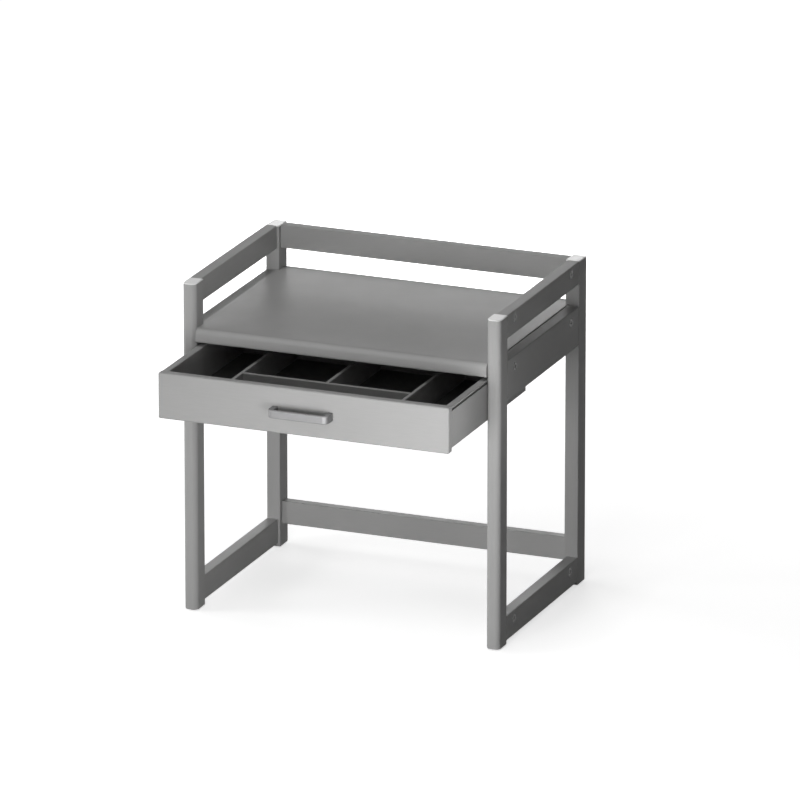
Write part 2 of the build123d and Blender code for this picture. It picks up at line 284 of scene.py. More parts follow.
# --------------------------------------------------------------------------- finishes
# Scales are in cells to a metre, heights in metres, and a length is how many times a pattern
# is drawn out along the grain. A tone holds the factors between which a pattern takes the
# colour, and a gloss how far it lowers and raises the roughness. Where a roughness has two
# values, they are its lowest and its highest.
@dataclass(frozen=True)
class Lacquer:
    """Sprayed satin paint over board, with the fibres just showing through it."""

    name: str
    along: Along
    colour: Rgb = (0.43, 0.429, 0.426)
    roughness: float = 0.52
    specular: float = 0.07
    cloud_scale: float = 9.0
    cloud_tone: Span = (0.968, 1.032)
    fibre_scale: float = 900.0
    fibre_length: float = 22.0
    fibre_tone: Span = (0.968, 1.024)
    fibre_height: float = 0.05 * MM
    fibre_strength: float = 0.34
    peel_scale: float = 520.0
    peel_height: float = 0.06 * MM
    peel_strength: float = 0.25
    patch_scale: float = 34.0
    patch_gloss: Span = (-0.03, 0.04)

    def material(self) -> bpy.types.Material:
        """Build the paint.

        Returns:
            The finished material.
        """
        graph = Graph(self.name)
        here = graph.place()
        drawn = graph.place(stretched(self.along, self.fibre_length))
        clouds = graph.noise(here, self.cloud_scale, detail=3.0)
        fibres = graph.noise(drawn, self.fibre_scale, detail=4.0, roughness=0.6)
        peel = graph.noise(here, self.peel_scale)
        graph.shade(self.colour, graph.span(clouds, *self.cloud_tone),
                    graph.span(fibres, *self.fibre_tone))
        patches = graph.noise(here, self.patch_scale, detail=4.0)
        graph.roughen(graph.span(patches, *around(self.roughness, self.patch_gloss)))
        graph.steady("Specular IOR Level", self.specular)
        orange_peel = graph.relief(peel, self.peel_height, self.peel_strength)
        graph.relief(fibres, self.fibre_height, self.fibre_strength, orange_peel)
        return graph.material


@dataclass(frozen=True)
class CoatedBoard:
    """Thin board with a matt printed coating, pebbled like fine leathercloth."""

    name: str
    colour: Rgb
    roughness: float = 0.6
    specular: float = 0.35
    pebble_scale: float = 1400.0
    pebble_tone: Span = (0.97, 1.02)
    pebble_height: float = 0.06 * MM
    pebble_strength: float = 0.35
    cloud_scale: float = 14.0
    cloud_tone: Span = (0.94, 1.05)
    cloud_gloss: Span = (-0.06, 0.08)

    def material(self) -> bpy.types.Material:
        """Build the coating.

        Returns:
            The finished material.
        """
        graph = Graph(self.name)
        here = graph.place()
        pebbles = graph.noise(here, self.pebble_scale)
        clouds = graph.noise(here, self.cloud_scale, detail=4.0)
        graph.shade(self.colour, graph.span(clouds, *self.cloud_tone),
                    graph.span(pebbles, *self.pebble_tone))
        graph.roughen(graph.span(clouds, *around(self.roughness, self.cloud_gloss)))
        graph.steady("Specular IOR Level", self.specular)
        graph.relief(pebbles, self.pebble_height, self.pebble_strength)
        return graph.material


@dataclass(frozen=True)
class ZincPlate:
    """Rolled steel strip with a thin zinc plating: faint crystals and rolling lines."""

    name: str
    along: Along
    colour: Rgb = (0.56, 0.565, 0.575)
    roughness: Span = (0.30, 0.44)
    crystal_scale: float = 320.0
    crystal_tone: Span = (0.93, 1.05)
    line_scale: float = 1800.0
    line_length: float = 60.0
    line_tone: Span = (0.95, 1.04)
    line_height: float = 0.02 * MM
    line_strength: float = 0.25

    def material(self) -> bpy.types.Material:
        """Build the plating.

        Returns:
            The finished material.
        """
        graph = Graph(self.name)
        crystals = graph.cells(graph.place(), self.crystal_scale)
        drawn = graph.place(stretched(self.along, self.line_length))
        lines = graph.noise(drawn, self.line_scale, detail=3.0)
        graph.shade(self.colour, graph.span(crystals, *self.crystal_tone, start=0.0, end=1.0),
                    graph.span(lines, *self.line_tone))
        graph.steady("Metallic", 1.0)
        graph.roughen(graph.span(crystals, *self.roughness, start=0.0, end=1.0))
        graph.relief(lines, self.line_height, self.line_strength)
        return graph.material


@dataclass(frozen=True)
class DieCast:
    """Die-cast zinc, dull and slightly pitted, as on a cam lock."""

    name: str
    colour: Rgb = (0.13, 0.129, 0.128)
    roughness: Span = (0.46, 0.6)
    metallic: float = 0.5
    pit_scale: float = 2600.0
    pit_tone: Span = (0.92, 1.05)
    pit_height: float = 0.03 * MM
    pit_strength: float = 0.5
    cloud_scale: float = 240.0
    cloud_tone: Span = (0.86, 1.1)

    def material(self) -> bpy.types.Material:
        """Build the casting.

        Returns:
            The finished material.
        """
        graph = Graph(self.name)
        here = graph.place()
        pits = graph.noise(here, self.pit_scale, detail=3.0, roughness=0.6)
        clouds = graph.noise(here, self.cloud_scale, detail=3.0)
        graph.shade(self.colour, graph.span(clouds, *self.cloud_tone),
                    graph.span(pits, *self.pit_tone))
        graph.steady("Metallic", self.metallic)
        graph.roughen(graph.span(clouds, *self.roughness))
        graph.relief(pits, self.pit_height, self.pit_strength)
        return graph.material


@dataclass(frozen=True)
class Brushed:
    """Satin metal with fine brushing along its length."""

    name: str
    along: Along
    colour: Rgb = (0.23, 0.23, 0.233)
    roughness: float = 0.40
    metallic: float = 0.7
    stroke_scale: float = 2400.0
    stroke_length: float = 45.0
    stroke_tone: Span = (0.94, 1.04)
    stroke_gloss: Span = (-0.05, 0.06)
    stroke_height: float = 0.015 * MM
    stroke_strength: float = 0.3
    cloud_scale: float = 70.0
    cloud_tone: Span = (0.97, 1.03)
    cloud_gloss: Span = (-0.03, 0.04)

    def material(self) -> bpy.types.Material:
        """Build the metal.

        Returns:
            The finished material.
        """
        graph = Graph(self.name)
        drawn = graph.place(stretched(self.along, self.stroke_length))
        strokes = graph.noise(drawn, self.stroke_scale, detail=4.0, roughness=0.65)
        clouds = graph.noise(graph.place(), self.cloud_scale, detail=3.0)
        graph.shade(self.colour, graph.span(strokes, *self.stroke_tone),
                    graph.span(clouds, *self.cloud_tone))
        graph.steady("Metallic", self.metallic)
        patches = graph.span(clouds, *around(self.roughness, self.cloud_gloss))
        graph.roughen(graph.math("ADD", graph.span(strokes, *self.stroke_gloss), patches))
        graph.relief(strokes, self.stroke_height, self.stroke_strength)
        return graph.material


@dataclass(frozen=True)
class Moulded:
    """Moulded plastic with a fine spark-eroded grain."""

    name: str
    colour: Rgb
    roughness: float
    scuffing: float
    scuff_scale: float = 180.0
    grain_scale: float = 3200.0
    grain_height: float = 0.03 * MM
    grain_strength: float = 0.4

    def material(self) -> bpy.types.Material:
        """Build the plastic.

        Returns:
            The finished material.
        """
        graph = Graph(self.name)
        here = graph.place()
        grain = graph.noise(here, self.grain_scale)
        scuffs = graph.noise(here, self.scuff_scale, detail=5.0, roughness=0.7)
        tone = around(1.0, (-self.scuffing, self.scuffing))
        gloss = around(self.roughness, (-self.scuffing / 2, self.scuffing))
        graph.shade(self.colour, graph.span(scuffs, *tone))
        graph.roughen(graph.span(scuffs, *gloss))
        graph.relief(grain, self.grain_height, self.grain_strength)
        return graph.material


class Finishes:
    """Every finish of the stand, built once and handed to the pieces."""

    def __init__(self) -> None:
        """Build the materials."""
        self.uprights = Lacquer("paint on the posts", Along.HEIGHT).material()
        self.side_rails = Lacquer("paint on the side rails", Along.DEPTH).material()
        self.back_rails = Lacquer("paint on the back rails", Along.WIDTH).material()
        self.shelf = Lacquer("paint on the shelf", Along.WIDTH, roughness=0.45).material()
        self.front = Lacquer("paint on the drawer front", Along.WIDTH).material()
        self.drawer_sides = Lacquer("paint on the drawer sides", Along.DEPTH,
                                    roughness=0.5).material()
        self.drawer_back = Lacquer("paint on the drawer back", Along.WIDTH,
                                   roughness=0.5).material()
        # The drawer panel's near-black colour is partly painted shade: it stands for the dark
        # inside of the drawer under the shelf.
        self.panel = CoatedBoard("coated drawer panel", colour=(0.085, 0.0845, 0.083)).material()
        self.tray = CoatedBoard("coated dividers", colour=(0.34, 0.339, 0.336),
                                roughness=0.52).material()
        self.runners = ZincPlate("plated runners", Along.DEPTH).material()
        self.screws = ZincPlate("plated screws", Along.HEIGHT,
                                colour=(0.34, 0.343, 0.35)).material()
        self.cams = DieCast("die-cast cams").material()
        self.glides = Moulded("moulded glides", colour=(0.035, 0.035, 0.036), roughness=0.5,
                              scuffing=0.2).material()
        self.caps = Moulded("moulded post caps", colour=(0.95, 0.948, 0.94), roughness=0.24,
                            scuffing=0.012).material()
        self.handle = Brushed("brushed handle", Along.WIDTH).material()


# ------------------------------------------------------------------------ mesh helpers
def new_object(name: str, mesh: bpy.types.Mesh) -> bpy.types.Object:
    """Link a mesh to the scene at the origin.

    Args:
        name: the object's name.
        mesh: its mesh.

    Returns:
        The new object.
    """
    made = bpy.data.objects.new(name, mesh)
    bpy.context.scene.collection.objects.link(made)
    return made


def mesh_from(name: str, build: Callable[[bmesh.types.BMesh], None]) -> bpy.types.Mesh:
    """Run a builder on an empty bmesh and keep the result.

    Args:
        name: the mesh's name.
        build: adds the geometry.

    Returns:
        The finished mesh, with its normals outwards.
    """
    work = bmesh.new()
    build(work)
    bmesh.ops.remove_doubles(work, verts=work.verts, dist=MERGE_DISTANCE)
    bmesh.ops.recalc_face_normals(work, faces=work.faces)
    mesh = bpy.data.meshes.new(name)
    work.to_mesh(mesh)
    work.free()
    return mesh


def solid_copy(node: str) -> bpy.types.Mesh:
    """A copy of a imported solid's mesh with its loose triangles merged into clean faces.

    Args:
        node: the name of the solid.

    Returns:
        The merged mesh.
    """
    work = bmesh.new()
    work.from_mesh(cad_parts[node].data)
    bmesh.ops.remove_doubles(work, verts=work.verts, dist=MERGE_DISTANCE)
    bmesh.ops.dissolve_limit(work, angle_limit=FLAT_ANGLE, verts=work.verts,
                             edges=work.edges)
    mesh = bpy.data.meshes.new(node)
    work.to_mesh(mesh)
    work.free()
    return mesh


def ease_edges(piece: bpy.types.Object, width: float, segments: int) -> None:
    """Round the sharp edges of a piece a little and keep its flat faces flat in the light.

    Args:
        piece: the piece.
        width: how much of each face the rounding takes, in metres.
        segments: how many steps the rounding has.
    """
    piece.data.shade_smooth()
    bevel = piece.modifiers.new("eased edges", "BEVEL")
    bevel.width = width
    bevel.segments = segments
    bevel.limit_method = "ANGLE"
    bevel.angle_limit = CREASE_ANGLE
    bevel.use_clamp_overlap = True
    normals = piece.modifiers.new("flat faces", "WEIGHTED_NORMAL")
    normals.keep_sharp = True
    normals.weight = FLAT_FACE_WEIGHT


def settle(piece: bpy.types.Object) -> None:
    """Turn a piece and its modifiers into a plain mesh.

    Args:
        piece: the piece, whose modifiers are removed.
    """
    graph = bpy.context.evaluated_depsgraph_get()
    plain = bpy.data.meshes.new_from_object(piece.evaluated_get(graph))
    piece.modifiers.clear()
    old = piece.data
    piece.data = plain
    plain.name = piece.name
    bpy.data.meshes.remove(old)


def dress(piece: bpy.types.Object, material: bpy.types.Material, body: Body,
          slot: Slot, *nodes: str) -> None:
    """Give a finished piece its material and its body, and hide the solids that it stands for.

    Args:
        piece: the piece, in place.
        material: its finish.
        body: what it moves with.
        slot: not used.
        nodes: the solids that it replaces, if any.
    """
    piece.data.materials.clear()
    piece.data.materials.append(material)
    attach(piece, body.value)
    if nodes:
        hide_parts(*nodes)
    LOG.info("%s: %d faces on %s", piece.name, len(piece.data.polygons), body.value)


def finished_solid(node: str, material: bpy.types.Material, body: Body, slot: Slot,
                   ease: float, segments: int = 2) -> None:
    """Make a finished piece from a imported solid, with its edges eased.

    Args:
        node: the solid that the piece stands for.
        material: its finish.
        body: what it moves with.
        slot: the record's slot for its finish.
        ease: the width of the eased edges in metres.
        segments: how many steps they have.
    """
    piece = new_object(f"{node}_finished", solid_copy(node))
    ease_edges(piece, ease, segments)
    settle(piece)
    dress(piece, material, body, slot, node)


# ---------------------------------------------------------- repeated pieces, by nodes
@dataclass(frozen=True)
class Seat:
    """Where one repeated piece sits."""

    place: Vector
    outwards: Vector
    along: Vector


class Repeater:
    """A Geometry Nodes tree that sets one shape on every seat."""

    OUTWARDS = "outwards"
    ALONG = "along"

    def __init__(self) -> None:
        """Build the tree, with its named inputs."""
        self.tree = bpy.data.node_groups.new("shape on seats", "GeometryNodeTree")
        interface = self.tree.interface
        interface.new_socket(name="Seats", in_out="INPUT", socket_type="NodeSocketGeometry")
        self.shape = interface.new_socket(name="Shape", in_out="INPUT",
                                          socket_type="NodeSocketObject")
        self.turn = interface.new_socket(name="Turn", in_out="INPUT",
                                         socket_type="NodeSocketFloat")
        self.seed = interface.new_socket(name="Seed", in_out="INPUT",
                                         socket_type="NodeSocketInt")
        self.finish = interface.new_socket(name="Finish", in_out="INPUT",
                                           socket_type="NodeSocketMaterial")
        interface.new_socket(name="Pieces", in_out="OUTPUT", socket_type="NodeSocketGeometry")
        self._wire()

    def _wire(self) -> None:
        """Add the nodes and join them."""
        nodes = self.tree.nodes
        link = self.tree.links.new
        entry = nodes.new("NodeGroupInput")
        leave = nodes.new("NodeGroupOutput")
        points = nodes.new("GeometryNodeMeshToPoints")
        shape = nodes.new("GeometryNodeObjectInfo")
        seat = nodes.new("GeometryNodeInstanceOnPoints")
        stand = nodes.new("FunctionNodeAlignRotationToVector")
        stand.axis = "Z"
        point = nodes.new("FunctionNodeAlignRotationToVector")
        point.axis = "X"
        point.pivot_axis = "Z"
        spread = nodes.new("FunctionNodeRandomValue")
        spread.data_type = "FLOAT"
        negative = nodes.new("ShaderNodeMath")
        negative.operation = "MULTIPLY"
        negative.inputs[1].default_value = -1.0
        turned = nodes.new("FunctionNodeAxisAngleToRotation")
        turned.inputs["Axis"].default_value = (0.0, 0.0, 1.0)
        both = nodes.new("FunctionNodeRotateRotation")
        both.rotation_space = "LOCAL"
        realize = nodes.new("GeometryNodeRealizeInstances")
        paint = nodes.new("GeometryNodeSetMaterial")
        directions = {}
        for name in (self.OUTWARDS, self.ALONG):
            named = nodes.new("GeometryNodeInputNamedAttribute")
            named.data_type = "FLOAT_VECTOR"
            named.inputs["Name"].default_value = name
            directions[name] = named.outputs["Attribute"]

        link(entry.outputs["Seats"], points.inputs["Mesh"])
        link(entry.outputs["Shape"], shape.inputs["Object"])
        link(points.outputs["Points"], seat.inputs["Points"])
        link(shape.outputs["Geometry"], seat.inputs["Instance"])
        link(directions[self.OUTWARDS], stand.inputs["Vector"])
        link(stand.outputs["Rotation"], point.inputs["Rotation"])
        link(directions[self.ALONG], point.inputs["Vector"])
        link(entry.outputs["Turn"], negative.inputs[0])
        link(negative.outputs["Value"], spread.inputs[2])
        link(entry.outputs["Turn"], spread.inputs[3])
        link(entry.outputs["Seed"], spread.inputs["Seed"])
        link(spread.outputs[1], turned.inputs["Angle"])
        link(point.outputs["Rotation"], both.inputs["Rotation"])
        link(turned.outputs["Rotation"], both.inputs["Rotate By"])
        link(both.outputs["Rotation"], seat.inputs["Rotation"])
        link(seat.outputs["Instances"], realize.inputs["Geometry"])
        link(realize.outputs["Geometry"], paint.inputs["Geometry"])
        link(entry.outputs["Finish"], paint.inputs["Material"])
        link(paint.outputs["Geometry"], leave.inputs["Pieces"])

    def spread(self, name: str, shape: bpy.types.Mesh, seats: Sequence[Seat],
               finish: bpy.types.Material, turn: float = 0.0,
               seed: int = 1) -> bpy.types.Object:
        """Set a shape on every seat and keep the result as a plain mesh.

        Args:
            name: the new piece's name.
            shape: the mesh of one piece, with its face at the origin and +Z outwards.
            seats: where the pieces sit.
            finish: their material.
            turn: the largest turn either way about the outward axis, in radians.
            seed: picks the turns.

        Returns:
            One object that holds all the pieces.
        """
        anchors = bpy.data.meshes.new(f"{name} seats")
        anchors.from_pydata([tuple(seat.place) for seat in seats], [], [])
        for key, values in ((self.OUTWARDS, [seat.outwards for seat in seats]),
                            (self.ALONG, [seat.along for seat in seats])):
            attribute = anchors.attributes.new(key, "FLOAT_VECTOR", "POINT")
            attribute.data.foreach_set("vector", [part for value in values for part in value])
        pattern = new_object(f"{name} pattern", shape)
        made = new_object(name, anchors)
        modifier = made.modifiers.new("shape on seats", "NODES")
        modifier.node_group = self.tree
        modifier[self.shape.identifier] = pattern
        modifier[self.turn.identifier] = turn
        modifier[self.seed.identifier] = seed
        modifier[self.finish.identifier] = finish
        settle(made)
        bpy.data.objects.remove(pattern)
        return made


def revolve(work: bmesh.types.BMesh, profile: Sequence[tuple[float, float]],
            steps: int) -> None:
    """Spin a profile about the Z axis.

    Args:
        work: takes the faces.
        profile: radius and height of each point, from axis to axis.
        steps: how many sides the round has.
    """
    corners = [work.verts.new((radius, 0.0, height)) for radius, height in profile]
    edges = [work.edges.new(pair) for pair in zip(corners, corners[1:])]
    bmesh.ops.spin(work, geom=[*corners, *edges], cent=(0, 0, 0), axis=(0, 0, 1),
                   angle=2 * math.pi, steps=steps)


def cross_cutter(reach: float, width: float, depth: float, flare: float = 1.15,
                 taper: float = 0.55) -> bpy.types.Mesh:
    """A tapered cross that cuts a screwdriver recess.

    Args:
        reach: from the middle to the end of an arm.
        width: the width of an arm.
        depth: how deep it goes, and how far it stands out of the head.
        flare: its size at the top, as a share of that at the surface.
        taper: its size at the bottom, as a share of that at the surface.

    Returns:
        The cutter, with the surface that it cuts at the origin.
    """
    def build(work: bmesh.types.BMesh) -> None:
        """Add three crosses of different sizes and join them.

        Args:
            work: takes the faces.
        """
        half = width / 2
        arm = [Vector(corner) for corner in ((half, half), (half, reach), (-half, reach))]
        turns = [Matrix.Rotation(quarter * math.pi / 2, 2) for quarter in range(4)]
        outline = [turn @ corner for turn in turns for corner in arm]
        rings = []
        for height, scale in ((depth, flare), (0.0, 1.0), (-depth, taper)):
            rings.append([work.verts.new((point.x * scale, point.y * scale, height))
                          for point in outline])
        for upper, lower in zip(rings, rings[1:]):
            for index in range(len(outline)):
                after = (index + 1) % len(outline)
                work.faces.new((upper[index], upper[after], lower[after], lower[index]))
        work.faces.new(rings[0])
        work.faces.new(rings[-1])

    return mesh_from("cross cutter", build)


def carve(body: bpy.types.Mesh, cutter: bpy.types.Mesh) -> bpy.types.Mesh:
    """Cut one mesh out of another.

    Args:
        body: the mesh that is cut.
        cutter: the mesh that cuts it.

    Returns:
        The cut mesh.
    """
    target = new_object("carved", body)
    tool = new_object("carving tool", cutter)
    cut = target.modifiers.new("cut", "BOOLEAN")
    cut.operation = "DIFFERENCE"
    cut.solver = "EXACT"
    cut.object = tool
    settle(target)
    carved = target.data
    bpy.data.objects.remove(tool)
    bpy.data.objects.remove(target)
    carved.shade_smooth()
    carved.set_sharp_from_angle(angle=CREASE_ANGLE)
    return carved


# ------------------------------------------------------------------------ the carcass
@dataclass
class Carcass:
    """The posts, the rails between them and the shelf."""

    finishes: Finishes
    post_ease: float = 1.2 * MM
    rail_ease: float = 1.5 * MM
    cap_ease: float = 0.3 * MM
    shelf_ease: float = 0.8 * MM

    def build(self) -> None:
        """Make and dress every board of the frame."""
        for post in POSTS:
            finished_solid(post, self.finishes.uprights, Body.FRAME, Slot.FRAME_PAINT,
                           self.post_ease)
        for kind in ("top_rail", "side_board", "bottom_rail"):
            for side in SIDES:
                finished_solid(f"{kind}_{side}", self.finishes.side_rails, Body.FRAME,
                               Slot.FRAME_PAINT, self.rail_ease)
        for node in ("back_top_rail", "back_apron", "back_bottom_rail"):
            finished_solid(node, self.finishes.back_rails, Body.FRAME, Slot.FRAME_PAINT,
                           self.rail_ease)
        finished_solid("post_caps", self.finishes.caps, Body.FRAME, Slot.CAP_PLASTIC,
                       self.cap_ease)
        finished_solid("shelf_board", self.finishes.shelf, Body.FRAME, Slot.SHELF_PAINT,
                       self.shelf_ease, segments=3)


# ------------------------------------------------------------------------- the drawer
@dataclass
class Drawer:
    """The drawer's front, walls, panel and dividers."""

    finishes: Finishes
    front_ease: float = 0.9 * MM
    wall_ease: float = 0.3 * MM
    divider_ease: float = 0.3 * MM

    def build(self) -> None:
        """Make and dress the boards of the drawer."""
        finished_solid("drawer_front", self.finishes.front, Body.DRAWER, Slot.FRONT_PAINT,
                       self.front_ease, segments=3)
        for side in SIDES:
            finished_solid(f"drawer_side_{side}", self.finishes.drawer_sides, Body.DRAWER,
                           Slot.DRAWER_PAINT, self.wall_ease)
        finished_solid("drawer_back", self.finishes.drawer_back, Body.DRAWER,
                       Slot.DRAWER_PAINT, self.wall_ease)
        finished_solid("drawer_bottom", self.finishes.panel, Body.DRAWER, Slot.PANEL_BOARD,
                       self.wall_ease)
        for part in ("left", "right", "centre", "cross"):
            finished_solid(f"divider_{part}", self.finishes.tray, Body.DRAWER,
                           Slot.TRAY_BOARD, self.divider_ease)


@dataclass
class Handle:
    """The bow handle: a flat bar with rounded corners that turns back to the drawer."""

    finishes: Finishes
    ease: float = 0.6 * MM

    def build(self) -> None:
        """Make and dress the handle."""
        finished_solid("handle", self.finishes.handle, Body.DRAWER, Slot.HANDLE_METAL,
                       self.ease, segments=3)


# ------------------------------------------------------------- runners and small parts
@dataclass
class Runners:
    """The steel angles that the drawer hangs on."""

    finishes: Finishes
    ease: float = 0.3 * MM

    def build(self) -> None:
        """Make and dress the runners."""
        for side in SIDES:
            finished_solid(f"runner_{side}", self.finishes.runners, Body.FRAME,
                           Slot.RUNNER_STEEL, self.ease)


@dataclass
class Screws:
    """The cross-head screws of the runners, the drawer's back and the handle.

    The rim of a head is a share of its height, the recess's reach and width are shares of its
    radius, and the recess's depth is a share of its height.
    """

    finishes: Finishes
    repeater: Repeater
    pan_radius: float = 3.4 * MM
    pan_height: float = 1.7 * MM
    flat_radius: float = 3.6 * MM
    flat_height: float = 0.4 * MM
    sides: int = 32
    rim: float = 0.35
    dome_steps: int = 5
    dome_degrees: int = 18
    recess_reach: float = 0.55
    recess_width: float = 0.27
    recess_depth: float = 0.65
    turn: float = math.radians(45.0)
    seed: int = 5
    runner_count: int = 3
    runner_inset: float = 40.0 * MM
    runner_drop: float = 16.0 * MM
    runner_gauge: float = 2.0 * MM
    back_heights: tuple[float, ...] = (12.0 * MM, 40.0 * MM)
    handle_pitch: float = 96.0 * MM

    def head(self, radius: float, height: float) -> bpy.types.Mesh:
        """One domed head with a cross recess.

        Args:
            radius: of the head.
            height: of its dome over the surface.

        Returns:
            The head, standing on the origin.
        """
        rim = height * self.rim
        arc = [(radius * math.cos(angle), rim + (height - rim) * math.sin(angle))
               for angle in (math.radians(self.dome_degrees * step)
                             for step in range(self.dome_steps))]
        profile = [(0.0, 0.0), (radius, 0.0), *arc, (0.0, height)]
        dome = mesh_from("screw head", lambda work: revolve(work, profile, self.sides))
        cutter = cross_cutter(radius * self.recess_reach, radius * self.recess_width,
                              height * self.recess_depth)
        cutter.transform(Matrix.Translation((0, 0, height)))
        return carve(dome, cutter)

    def runner_seats(self) -> list[Seat]:
        """Where the screws hold the runners to the side boards.

        Returns:
            One seat for each screw.
        """
        found = []
        for name, side in SIDES.items():
            low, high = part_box(f"runner_{name}")
            outer = side * max(abs(low.x), abs(high.x))
            pitch = (high.y - low.y - 2 * self.runner_inset) / (self.runner_count - 1)
            for index in range(self.runner_count):
                place = Vector((outer - side * self.runner_gauge,
                                low.y + self.runner_inset + pitch * index,
                                high.z - self.runner_drop))
                found.append(Seat(place, Vector((-side, 0, 0)), Vector((0, 1, 0))))
        return found

    def back_seats(self) -> list[Seat]:
        """Where the screws go through the drawer's sides into its back.

        Returns:
            One seat for each screw.
        """
        low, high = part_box("drawer_back")
        found = []
        for name, side in SIDES.items():
            near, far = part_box(f"drawer_side_{name}")
            outer = side * max(abs(near.x), abs(far.x))
            for height in self.back_heights:
                place = Vector((outer, (low.y + high.y) / 2, low.z + height))
                found.append(Seat(place, Vector((side, 0, 0)), Vector((0, 1, 0))))
        return found

    def handle_seats(self) -> list[Seat]:
        """Where the handle's screws sit, inside the drawer's front.

        Returns:
            One seat for each screw.
        """
        low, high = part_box("handle")
        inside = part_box("drawer_front")[1].y
        return [Seat(Vector((side * self.handle_pitch / 2, inside, (low.z + high.z) / 2)),
                     Vector((0, 1, 0)), Vector((1, 0, 0))) for side in SIDES.values()]

    def build(self) -> None:
        """Make and dress the screws."""
        pan, flat = (self.pan_radius, self.pan_height), (self.flat_radius, self.flat_height)
        for name, size, seats, body in (
                ("runner_screws", pan, self.runner_seats(), Body.FRAME),
                ("drawer_back_screws", flat, self.back_seats(), Body.DRAWER),
                ("handle_screws", pan, self.handle_seats(), Body.DRAWER)):
            screws = self.repeater.spread(name, self.head(*size), seats,
                                          self.finishes.screws, self.turn, self.seed)
            dress(screws, self.finishes.screws, body, Slot.RUNNER_STEEL)


@dataclass
class Cams:
    """The cam locks, each a cast disc with a ring groove and a cross recess.

    The groove's corners and the recess's reach and width are shares of the disc's radius.
    """

    finishes: Finishes
    repeater: Repeater
    rim: float = 0.35 * MM
    sides: int = 48
    groove: tuple[float, float, float, float] = (0.72, 0.76, 0.82, 0.86)
    groove_depth: float = 0.25 * MM
    recess_reach: float = 0.56
    recess_width: float = 0.27
    recess_depth: float = 3.0 * MM
    turn: float = math.radians(35.0)
    seed: int = 11

    def shape(self, radius: float, depth: float) -> bpy.types.Mesh:
        """One cam.

        Args:
            radius: of the disc.
            depth: from its face to its underside.

        Returns:
            The cam, with its face at the origin.
        """
        inner, inner_foot, outer_foot, outer = (radius * share for share in self.groove)
        profile = [(0.0, 0.0), (inner, 0.0), (inner_foot, -self.groove_depth),
                   (outer_foot, -self.groove_depth), (outer, 0.0),
                   (radius - self.rim, 0.0), (radius, -self.rim), (radius, -depth),
                   (0.0, -depth)]
        disc = mesh_from("cam disc", lambda work: revolve(work, profile, self.sides))
        return carve(disc, cross_cutter(radius * self.recess_reach,
                                        radius * self.recess_width, self.recess_depth))

    def islands(self, node: str) -> list[tuple[Vector, Vector]]:
        """The box of every solid in a group node.

        Args:
            node: the group's name.

        Returns:
            The lowest and highest corner of each solid.
        """
        work = bmesh.new()
        work.from_mesh(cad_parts[node].data)
        bmesh.ops.remove_doubles(work, verts=work.verts, dist=MERGE_DISTANCE)
        left, boxes = set(work.verts), []
        while left:
            stack, group = [left.pop()], []
            while stack:
                vertex = stack.pop()
                group.append(vertex.co.copy())
                for edge in vertex.link_edges:
                    other = edge.other_vert(vertex)
                    if other in left:
                        left.remove(other)
                        stack.append(other)
            boxes.append((Vector(map(min, *group)), Vector(map(max, *group))))
        work.free()
        return sorted(boxes, key=lambda pair: tuple(pair[0]))

    def seat(self, low: Vector, high: Vector, outwards: Vector, along: Vector) -> Seat:
        """The seat of one cam, at the middle of its outer face.

        Args:
            low: the lowest corner of the cam's box.
            high: the highest corner.
            outwards: out of the board.
            along: towards the bolt.

        Returns:
            The seat.
        """
        middle, half = (low + high) / 2, (high - low) / 2
        reach = abs(half.dot(outwards))
        return Seat(middle + outwards * reach, outwards, along)

    def frame_seats(self) -> list[Seat]:
        """The cams of the rails, side boards, back rails and shelf.

        Returns:
            One seat for each cam.
        """
        found = []
        for low, high in self.islands("frame_cams"):
            size, middle = high - low, (low + high) / 2
            thin = min(range(3), key=lambda axis: size[axis])
            outwards, along = Vector((0, 0, 0)), Vector((0, 0, 0))
            if thin == 0:
                outwards.x = math.copysign(1, middle.x)
                along.y = 1
            elif thin == 1:
                outwards.y = 1
                along.x = 1
            else:
                outwards.z = -1
                along.x = 1
            found.append(self.seat(low, high, outwards, along))
        return found

    def drawer_seats(self) -> list[Seat]:
        """The two cams on the inner faces of the drawer sides.

        Returns:
            One seat for each cam.
        """
        return [self.seat(low, high, Vector((-math.copysign(1, low.x), 0, 0)),
                          Vector((0, 1, 0)))
                for low, high in self.islands("drawer_cams")]

    def build(self) -> None:
        """Make and dress the cams of both bodies."""
        for node, seats, body in (("frame_cams", self.frame_seats(), Body.FRAME),
                                  ("drawer_cams", self.drawer_seats(), Body.DRAWER)):
            low, high = self.islands(node)[0]
            sizes = sorted(high - low)
            shape = self.shape(sizes[-1] / 2, sizes[0])
            cams = self.repeater.spread(f"{node}_finished", shape, seats,
                                        self.finishes.cams, self.turn, self.seed)
            dress(cams, self.finishes.cams, body, Slot.CAM_ZINC, node)


